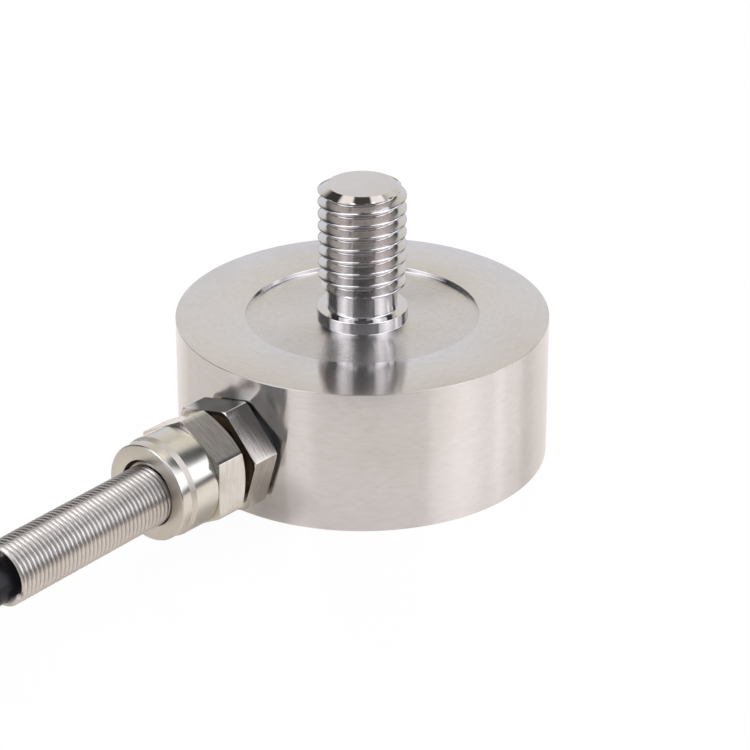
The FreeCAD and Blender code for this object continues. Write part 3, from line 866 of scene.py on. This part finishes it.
def straighten_side(mesh):
    """The side's normals point straight out, also where the port's seat cuts its faces."""
    normals = [(0.0, 0.0, 0.0)] * len(mesh.loops)
    for face in mesh.polygons:
        flat = Vector((face.center.x, face.center.y, 0))
        on_side = flat.length > body_radius * 0.995 and abs(face.normal.z) < nearly_none
        if on_side and face.normal.dot(flat.normalized()) > nearly_all:
            for loop in face.loop_indices:
                spot = mesh.vertices[mesh.loops[loop].vertex_index].co
                normals[loop] = Vector((spot.x, spot.y, 0)).normalized()[:]
    mesh.normals_split_custom_set(normals)


def cut_port(piece):
    """A flat seat for the gland's washer, sunk into the round side."""
    seat_out = body_radius - port_seat_depth
    block = bmesh.new()
    skin(block, circles([
        (0, seat_out), (port_seat_radius, seat_out), (port_seat_radius, 2 * body_radius),
        (0, 2 * body_radius)]))
    cutter = finish_mesh(block, "port_cutter", gland_frame)
    cut = piece.modifiers.new("port", "BOOLEAN")
    cut.object = cutter
    cut.solver = "EXACT"
    mesh = settled_mesh(piece)
    piece.modifiers.clear()
    piece.data = mesh
    bpy.data.objects.remove(cutter)


def make_sensing_body(tree):
    """The turned body, its stud's thread and the spot-faced port in its side."""
    bm = bmesh.new()
    skin(bm, circles(body_profile(), body_steps))
    stud_top = body_high.z
    add_thread(bm, tree, body_steps, stud_radius, stud_thread_root, stud_thread_pitch, stud_thread_phase,
               (neck_top, neck_radius, (stud_radius - neck_radius) / runout_height),
               (stud_top, tip_radius, (stud_radius - tip_radius) / tip_height))
    skin(bm, circles([(tip_radius, stud_top), (0, stud_top)], body_steps))
    piece = finish_mesh(bm, "turned_body", weld=thread_weld)
    cut_port(piece)
    mesh = piece.data
    shade(mesh, sharp_turned)
    for edge in mesh.edges:
        low, high = sorted(mesh.vertices[corner].co.z for corner in edge.vertices)
        if low > neck_top + runout_height and high < stud_top - tip_height:
            edge.use_edge_sharp = False
    straighten_side(mesh)
    return seated(piece, stainless, "stainless", "sensing_body")


def make_base_plate(tree):
    """The welded plate with its boss and the tapped hole for the lower fixing."""
    bottom, boss_top = plate_low.z, plate_high.z
    cone_tip = boss_top - tapping_end_wall
    hole_end = cone_tip - tapping_radius / math.tan(drill_angle / 2)
    mouth = tapping_radius + mouth_chamfer
    bm = bmesh.new()
    skin(bm, circles([
        (mouth, bottom), (plate_high.x, bottom, rim_round), (plate_high.x, plate_top),
        (boss_radius, plate_top), (boss_radius, boss_top, boss_round), (0, boss_top),
    ]))
    add_thread(bm, tree, gland_steps, tapping_radius, stud_radius, stud_thread_pitch, 0.0,
               (bottom, mouth, -1.0), (hole_end, tapping_radius, 1.0), inside=True)
    skin(bm, circles([(tapping_radius, hole_end), (0, cone_tip)]))
    piece = finish_mesh(bm, "tapped_base_plate", weld=thread_weld)
    return seated(piece, stainless, "stainless", "base_plate")


# Cable gland

def on_circle(angle, radius):
    return Vector((math.cos(angle), math.sin(angle))) * radius


def hexagon_outline(turn):
    """Hexagon with slightly rounded corners, its flats divided for the chamfer's curve."""
    middle = corner_radius - hex_corner_round / math.cos(math.radians(30))
    points = []
    for corner in range(6):
        angle = turn + math.radians(60 * corner)
        arc = []
        for k in range(arc_steps + 1):
            swing = angle + math.radians(-30 + 60 * k / arc_steps)
            arc.append(on_circle(angle, middle) + on_circle(swing, hex_corner_round))
        after = turn + math.radians(60 * (corner + 1))
        next_start = on_circle(after, middle) + on_circle((angle + after) / 2, hex_corner_round)
        points += arc
        points += [arc[-1].lerp(next_start, k / flat_parts) for k in range(1, flat_parts)]
    return points


def hexagon_end(outline, limit, height, sense):
    """The end face's outline, and where its corner chamfer meets the hexagon's sides."""
    edge = [Vector((*(p * min(1.0, limit / p.length)), height)) for p in outline]
    rise = sense * math.tan(corner_chamfer_angle)
    return edge, [Vector((p.x, p.y, height + rise * max(0.0, p.length - limit))) for p in outline]


def hexagon_rings(turn, back, front, back_limit, front_limit):
    """Rings of a hexagon whose corners are chamfered down to a circle at each end."""
    outline = hexagon_outline(turn)
    front_edge, front_chamfer = hexagon_end(outline, front_limit, front, -1)
    return [*hexagon_end(outline, back_limit, back, 1), front_chamfer, front_edge]


def paint_faces(piece, material, chosen):
    """A second material on the chosen faces, each known with its place along and off the gland's axis."""
    piece.data.materials.append(material)
    for face in piece.data.polygons:
        off = (face.center - Vector((face.center.x, 0, port_height))).length
        face.material_index = 1 if chosen(face, -face.center.x, off) else 0


def make_gland_body(tree):
    """Spigot, rear hexagon and the threaded end that the cap screws on to."""
    limit = corner_radius - 2 * edge_break
    rings = circles([
        (cable_bore_radius, seal_back), (cable_bore_radius, gland_back),
        (spigot_radius, gland_back, edge_break), (spigot_radius, body_hex_back),
    ])
    rings += hexagon_rings(body_hex_turn, body_hex_back, body_hex_front, limit, limit)
    bm = bmesh.new()
    skin(bm, rings + circles([(clamp_thread_root, body_hex_front)]))
    ends = [(height, clamp_thread_root, clamp_thread_slope) for height in (body_hex_front, clamp_thread_end)]
    add_thread(bm, tree, gland_steps, clamp_radius, clamp_thread_root, clamp_thread_pitch,
               clamp_thread_phase, *ends)
    skin(bm, circles([
        (clamp_thread_root, clamp_thread_end), (clamp_thread_root, clamp_front),
        (seal_bore_radius, clamp_front), (seal_bore_radius, seal_back),
        (cable_bore_radius, seal_back),
    ]))
    piece = finish_mesh(bm, "gland_rear_hexagon", gland_frame, weld=thread_weld)
    seated(piece, nickel_flats, "nickel_plate", "gland_body")

    def in_gap(face, out, off):
        on_thread = clamp_thread_root - edge_break < off < clamp_radius + edge_break
        return on_thread and body_hex_front < out < clamp_thread_end

    # The thread seen between the hexagons takes the dark material: painted shade in the gap.
    paint_faces(piece, gap_shade_thread, in_gap)
    return piece


def make_gland_cap():
    """Front hexagon with its rear corners chamfered, barrel, cone and holed nose."""
    back_limit = corner_radius - cap_corner_chamfer / math.tan(corner_chamfer_angle)
    front_limit = corner_radius - edge_break / 2
    barrel = across_flats / 2
    rings = circles([
        (cap_bore_radius, cap_inner_face), (cap_bore_radius, cap_back + edge_break),
        (cap_bore_radius + edge_break, cap_back),
    ])
    rings += hexagon_rings(cap_hex_turn, cap_back, cap_hex_front, back_limit, front_limit)
    rings += circles([
        (barrel - edge_break, cap_hex_front), (barrel, cap_hex_front + edge_break, barrel_round),
        (barrel, cap_barrel_front, cone_round), (nose_radius, nose_back, cone_round),
        (nose_radius, nose_front, nose_round), (nose_hole_radius, nose_front, cone_round),
        (nose_hole_radius, cap_inner_face), (cap_bore_radius, cap_inner_face),
    ])
    bm = bmesh.new()
    skin(bm, rings)
    piece = finish_mesh(bm, "gland_clamping_cap", gland_frame, sharp=sharp_cap, weld=thread_weld)
    seated(piece, nickel_turned, "nickel_plate", "gland_cap")

    def on_flats(face, out, off):
        upright = abs(face.normal.x) < nearly_none
        return upright and cap_back < out < cap_hex_front and off > barrel * nearly_all

    paint_faces(piece, nickel_flats, on_flats)
    return piece


def spring_tree(material):
    """One wire wound in touching coils, with a wider coil at its foot."""
    tree, size = geometry_tree("closed_coil_spring", (
        "Coil radius", "Wire radius", "Turns", "Foot radius", "Unevenness"), ("Steps", "Wire sides"))
    spiral = take(tree, "GeometryNodeCurveSpiral", {
        "Resolution": size["Steps"], "Rotations": size["Turns"], "Start Radius": size["Coil radius"],
        "End Radius": size["Coil radius"], "Height": size["Wire radius"] * 2.0 * size["Turns"]})
    turn = take(tree, "GeometryNodeSplineParameter", None, "Factor") * size["Turns"]
    flare = turn.ranged(spring_flare_from, spring_flare_to, 1.0, 0.0)
    wider = size["Foot radius"] / size["Coil radius"] - 1.0
    off_true = (line_noise(tree, turn, spring_wander, 1.0) - 0.5) * size["Unevenness"]
    spread = flare.times_plus(wider, 1.0) + off_true
    right_hand = take(tree, "ShaderNodeCombineXYZ", {0: spread, 1: spread * -1.0, 2: 1.0})
    moved = on_vectors(tree, "MULTIPLY", take(tree, "GeometryNodeInputPosition"), right_hand)
    wound = take(tree, "GeometryNodeSetPosition", {"Geometry": spiral, "Position": moved})
    section = take(tree, "GeometryNodeCurvePrimitiveCircle", {
        "Resolution": size["Wire sides"], "Radius": size["Wire radius"]})
    end_tree(tree, swept_curve(tree, wound, section), material)
    return tree


def swept_curve(tree, curve, section):
    """A capped tube along a curve."""
    return take(tree, "GeometryNodeCurveToMesh", {
        "Curve": curve, "Profile Curve": section, "Fill Caps": True})


def make_spring():
    """The bend relief spring, resting on the hole's lower edge and drooping a little."""
    mesh = grow(spring_tree(spring_steel), {
        "Coil radius": spring_radius - wire_radius, "Wire radius": wire_radius,
        "Turns": spring_turns, "Steps": spring_steps, "Foot radius": spring_foot_radius - wire_radius,
        "Wire sides": wire_sides, "Unevenness": spring_unevenness,
    })
    along = Vector((-math.cos(spring_droop), 0, -math.sin(spring_droop)))
    across = Vector((-math.sin(spring_droop), 0, math.cos(spring_droop)))
    start = Vector((-spring_foot_out, 0, port_height - spring_drop)) + along * wire_radius
    turn = Matrix((Vector((0, -1, 0)), across, along)).transposed().to_4x4()
    mesh.transform(Matrix.Translation(start) @ turn)
    shade(mesh, sharp_wire)
    return seated(new_object("bend_relief_spring", mesh), spring_steel, "spring_wire", "bend_spring")


# What is on the cable

def swept(name, path, radii, sides):
    """A closed tube along points, its radius given at each of them."""
    rings = [[path[0]]]
    turns = [2 * math.pi * k / sides for k in range(sides)]
    for i, (point, radius) in enumerate(zip(path, radii)):
        ahead = (path[min(i + 1, len(path) - 1)] - path[max(i - 1, 0)]).normalized()
        side = ahead.cross(Vector((0, 0, 1))).normalized()
        lift = side.cross(ahead)
        rings.append([point + (side * math.cos(turn) + lift * math.sin(turn)) * radius for turn in turns])
    bm = bmesh.new()
    skin(bm, rings + [[path[-1]]])
    return finish_mesh(bm, name, sharp=sharp_swept)


def make_sleeve():
    """Shrunk sleeve over the jacket's end, drawn in at both ends and slightly lumpy."""
    height = coil_shoulder + sleeve_clearance + sleeve_radius
    sweep = math.degrees(sleeve_length / end_lane)
    path, radii = [], []
    for i in range(sleeve_rows + 1):
        share = i / sleeve_rows
        path.append(coil_point(coil_end + sweep * i / sleeve_rows, end_lane, height))
        near_end = min(share, 1 - share) * sleeve_rows
        lump = sum(size * math.sin(share * waves + start) for size, waves, start in sleeve_lumps)
        drawn_in = 1 - sleeve_end_draw + sleeve_end_draw * smooth_step(near_end / sleeve_end_rows)
        radii.append(sleeve_radius * drawn_in * (sleeve_fullness + lump))
    sleeve = swept("jacket_end_sleeve", path, radii, sleeve_sides)
    return seated(sleeve, sleeve_black, "shrink_sleeve", "end_sleeve")


def strand_tree(material):
    """Seven twisted strands: one straight in the middle and six round it."""
    tree, size = geometry_tree("twisted_strands", ("Strand radius", "Length", "Turns"), ("Count",))
    lay_radius = size["Strand radius"] * 2.0
    outer = take(tree, "GeometryNodeCurveSpiral", {
        "Resolution": 24, "Rotations": size["Turns"], "Start Radius": lay_radius,
        "End Radius": lay_radius, "Height": size["Length"]})
    end = take(tree, "ShaderNodeCombineXYZ", {2: size["Length"]})
    middle = take(tree, "GeometryNodeCurvePrimitiveLine", {"End": end})
    points = take(tree, "GeometryNodePoints", {"Count": size["Count"]})
    share = take(tree, "GeometryNodeInputIndex") / size["Count"]
    turn = take(tree, "ShaderNodeCombineXYZ", {2: share * (2 * math.pi)})
    section = take(tree, "GeometryNodeCurvePrimitiveCircle", {
        "Resolution": strand_sides, "Radius": size["Strand radius"]})
    around = take(tree, "GeometryNodeInstanceOnPoints", {
        "Points": points, "Instance": swept_curve(tree, outer, section), "Rotation": turn})
    both = put(tree, "GeometryNodeJoinGeometry")
    for part in (around, swept_curve(tree, middle, section)):
        tree.links.new(part.socket, both.inputs[0])
    end_tree(tree, Wire(tree, both.outputs[0]), material)
    return tree


def lead_points(index, start_angle):
    """Where a bare core runs: out of the sleeve, then down to lie on the coil."""
    side, lift = (index % 2 - 0.5) * core_spacing, (index // 2 - 0.5) * core_spacing
    shoulder = coil_shoulder + sleeve_clearance
    start = coil_point(start_angle, end_lane + side, shoulder + sleeve_radius + lift)
    ahead = coil_point(start_angle + 90, 1, 0) - coil_centre
    run = max(lead_reach) / (lead_bends + 1)
    step = math.degrees(run / end_lane)
    end_step = math.degrees((lead_reach[index] - lead_bends * run) / end_lane)
    lane = end_lane + side - lead_shift
    rest = shoulder + lead_radius + core_spacing * (index // 2)
    points = [start, start + ahead * run, coil_point(start_angle + 2 * step, lane, (start.z + rest) / 2)]
    points += [coil_point(start_angle + bend * step, lane, rest) for bend in range(3, lead_bends + 1)]
    points.append(coil_point(start_angle + lead_bends * step + end_step, lane, rest))
    return points


def make_lead(index, colour, start_angle, tree):
    """Coloured core with its tinned strands bare at the end."""
    name = "lead_core_" + colour
    carrier = new_curve(name, lead_points(index, start_angle))
    carrier.data.resolution_u = 8
    path = [vert.co.copy() for vert in settled_mesh(carrier).vertices]
    bpy.data.objects.remove(carrier)
    piece = swept(name, path, [lead_radius] * len(path), wire_sides)
    ahead = (path[-1] - path[-2]).normalized()
    strands = grow(tree, {"Strand radius": strand_radius, "Length": lead_bare_length + lead_radius,
                          "Turns": strand_turns, "Count": outer_strands})
    turn = ahead.to_track_quat("Z", "Y").to_matrix().to_4x4()
    strands.transform(Matrix.Translation(path[-1] - ahead * lead_radius) @ turn)
    seated(piece, core_paint[colour], "core_" + colour, "lead_" + colour)
    piece.data.materials.append(tinned)
    bm = bmesh.new()
    bm.from_mesh(piece.data)
    first = len(bm.faces)
    bm.from_mesh(strands)
    bm.faces.ensure_lookup_table()
    for face in bm.faces[first:]:
        face.material_index = 1
        face.smooth = True
    bm.to_mesh(piece.data)
    bm.free()
    bpy.data.meshes.remove(strands)
    return piece


def tie_outline(angle, grow_by):
    """The tie's path round the coil's section as (radius, height), with rounded corners."""
    top = coil_shoulder + 2 * cable_radius
    inner = coil_radii[0] - cable_radius - tie_gap - grow_by
    outer = coil_radii[-1] + cable_radius + tie_gap + grow_by
    bottom, above = tie_thickness - grow_by, top + tie_gap + grow_by
    bend = tie_bend + grow_by
    corners = [(inner, bottom, bend), (outer, bottom, bend)]
    if angle < coil_end:
        corners.append((outer, above, bend))
    else:
        step = coil_radii[1] + cable_radius + tie_gap + grow_by / 2
        corners += [(outer, coil_shoulder + tie_gap + grow_by / 2, bend), (step, above, bend)]
    return rounded(corners + [(inner, above, bend)])


def make_tie(name, angle):
    """Nylon tie round the coil: strap with softened edges, ratchet head and cut tail."""
    tangent = coil_point(angle + 90, 1, 0) - coil_centre
    soft = tie_thickness / 4
    section = [
        (tie_thickness - soft, 0), (tie_thickness, soft), (tie_thickness, tie_width - soft),
        (tie_thickness - soft, tie_width), (0, tie_width), (0, 0),
    ]
    bm = bmesh.new()
    loops = []
    for grown, side in section:
        shift = tangent * (side - tie_width / 2)
        loops.append([coil_point(angle, p.x, p.y) + shift for p in tie_outline(angle, grown)])
    skin(bm, loops, closed=True)
    strap_faces = len(bm.faces)
    head_low = coil_shoulder / 2
    head_middle = coil_radii[-1] + cable_radius + tie_gap + tie_head.x / 2
    radial = (coil_point(angle, 1, 0) - coil_centre).normalized()
    basis = Matrix((radial, tangent, Vector((0, 0, 1)))).transposed().to_4x4()

    def set_in_place(verts, height):
        centre = coil_point(angle, head_middle, height)
        bmesh.ops.transform(bm, matrix=Matrix.Translation(centre) @ basis, verts=verts)

    head = bmesh.ops.create_cube(bm, size=1.0)["verts"]
    bmesh.ops.scale(bm, vec=tie_head, verts=head)
    edges = list({edge for vert in head for edge in vert.link_edges})
    bmesh.ops.bevel(bm, geom=edges, offset=tie_head_round, segments=3, affect="EDGES", profile=0.5)
    head = list({vert for face in bm.faces[strap_faces:] for vert in face.verts})
    set_in_place(head, head_low + tie_head.z / 2)
    tail = bmesh.ops.create_cube(bm, size=1.0)["verts"]
    bmesh.ops.scale(bm, vec=tie_tail, verts=tail)
    set_in_place(tail, head_low + tie_head.z + tie_tail_rise)
    return finish_mesh(bm, name, sharp=sharp_tie)


# Floor, light and background

def window(value, middle, half_width, soft):
    """One inside a soft-edged range of degrees, and zero outside it."""
    off = abs((value - middle).math("WRAP", -180.0, 180.0))
    return off.ranged(half_width - soft, half_width + soft, 1.0, 0.0, smooth=True)


def add_panels(base, azimuth, rise, panels):
    """The base brightness with each soft panel's share added."""
    level = base
    for middle, half_width, soft, low, high, fade, strength in panels:
        above = rise.ranged(low - fade, low + fade, smooth=True)
        below = rise.ranged(high - fade, high + fade, 1.0, 0.0, smooth=True)
        level = window(azimuth, middle, half_width, soft) * above * below * strength + level
    return level


def seen_directly(tree):
    """One for what the camera sees, also through clear things, and the light path's outputs."""
    path = put(tree, "ShaderNodeLightPath").outputs
    return Wire(tree, path["Is Camera Ray"]).math("MAXIMUM", Wire(tree, path["Is Transmission Ray"])), path


def glowing(tree, colour, strength):
    return take(tree, "ShaderNodeEmission", {"Color": (*colour, 1), "Strength": strength})


def make_stage():
    """Pale floor: white to the eye, a lit grey sheet with the part's shade in its reflections."""
    bm = bmesh.new()
    bmesh.ops.create_grid(bm, x_segments=1, y_segments=1, size=floor_size)
    floor = new_object("floor", mesh_of(bm, "floor"))
    material, tree = new_material("pale_floor")
    seen, path = seen_directly(tree)
    mirrored = Wire(tree, path["Is Glossy Ray"])
    place = take(tree, "ShaderNodeNewGeometry", None, "Position")
    toward = (-math.sin(view_turn), -math.cos(view_turn), 0.0)
    near = on_vectors(tree, "DOT_PRODUCT", place, toward, output="Value")
    lit = near.ranged(floor_edge - floor_edge_soft, floor_edge + floor_edge_soft, 1.0, floor_past_edge)
    away = on_vectors(tree, "LENGTH", place, output="Value")
    far = away.ranged(floor_light_reach, floor_dark_from, 1.0, floor_far_level, smooth=True)
    off = on_vectors(tree, "DISTANCE", place, gland_shade_centre, output="Value")
    under_gland = off.ranged(gland_shade_near, gland_shade_far, gland_shade, 1.0, smooth=True)
    share = (lit * far * under_gland - 1.0).times_plus(mirrored, 1.0)
    grey = scaled(tree, floor_tint, share * floor_grey)
    matt = take(tree, "ShaderNodeBsdfDiffuse", {"Color": grey})
    white = seen * floor_whiteness
    wires = {0: white, 1: matt, 2: glowing(tree, (1, 1, 1), floor_seen)}
    blend = take(tree, "ShaderNodeMixShader", wires)
    gloss = [floor_gloss * part for part in floor_tint]
    glossy = take(tree, "ShaderNodeBsdfGlossy", {"Color": (*gloss, 1), "Roughness": floor_roughness})
    glow = glowing(tree, floor_tint, share * floor_glow * mirrored)
    sheen = take(tree, "ShaderNodeAddShader", {0: glossy, 1: glow})
    hidden = take(tree, "ShaderNodeMixShader", {0: white, 1: sheen})
    both = take(tree, "ShaderNodeAddShader", {0: blend, 1: hidden})
    put(tree, "ShaderNodeOutputMaterial", {"Surface": both})
    floor.data.materials.append(material)


def make_light():
    """Studio light: soft boxes left and right, a pale wall behind and a dark room in front."""
    world = bpy.data.worlds.new("studio")
    bpy.context.scene.world = world
    world.use_nodes = True
    tree = world.node_tree
    tree.nodes.clear()
    way = take(tree, "ShaderNodeTexCoord", None, "Generated")
    facing = take(tree, "ShaderNodeMapping", {"Vector": way, "Rotation": (0.0, 0.0, view_turn)})
    across, away, up = axes_of(tree, facing)
    near = away * -1.0
    azimuth = across.math("ARCTAN2", near).degrees()
    side = across.math("ARCSINE").degrees()
    pitch = up.math("ARCTAN2", near).degrees()
    rise = up.math("ARCSINE").degrees()
    level = add_panels(room_level, azimuth, rise, studio_panels)
    overhead = rise.ranged(overhead_start, overhead_start + overhead_fade, smooth=True)
    level = overhead * overhead_strength + level
    strip = window(side, *strip_across) * window(pitch, *strip_along)
    level = level * strip.ranged(0.0, 1.0, 1.0, strip_level)
    warm = window(azimuth, *wall_across) * rise.ranged(wall_low, wall_high)
    colour = mixed_colour(tree, warm, lamp_tint, wall_tint)
    room = take(tree, "ShaderNodeBackground", {"Color": colour, "Strength": level})
    white = take(tree, "ShaderNodeBackground", {"Color": (1, 1, 1, 1), "Strength": 1.0})
    seen, _ = seen_directly(tree)
    background = take(tree, "ShaderNodeMixShader", {0: seen, 1: room, 2: white})
    put(tree, "ShaderNodeOutputWorld", {"Surface": background})


def dress_inner_nodes():
    """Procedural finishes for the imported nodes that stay, most of them sealed inside."""
    for entry in frame["record"]["subparts"]:
        node, slot = frame["nodes"][entry["node"]], entry["material_slot"]
        if node.hide_render:
            continue
        paint = inner_paint.get(slot) or core_paint.get(slot.replace("core_", ""))
        node.data.materials.clear()
        node.data.materials.append(paint)


threads = thread_tree(stainless)
make_sensing_body(threads)
make_base_plate(threads)
rear_hexagon = make_gland_body(threads)
cap = make_gland_cap()
spring = make_spring()
sleeve = make_sleeve()
strands = strand_tree(tinned)
leads_from = coil_end + math.degrees(sleeve_length / end_lane)
leads = [make_lead(i, colour, leads_from, strands) for i, colour in enumerate(core_colours)]
ties = []
for node, angle in tie_angles.items():
    ties.append(seated(make_tie(node.replace("coil", "nylon"), angle), tie_nylon, "tie_nylon", node))
seated(cable, jacket, "cable_jacket", "cable", "cable_coil")
dress_inner_nodes()
for piece in (cable, sleeve, *leads, *ties):
    piece.visible_glossy = False
make_stage()
make_light()
bpy.context.scene.view_settings.view_transform = "Standard"
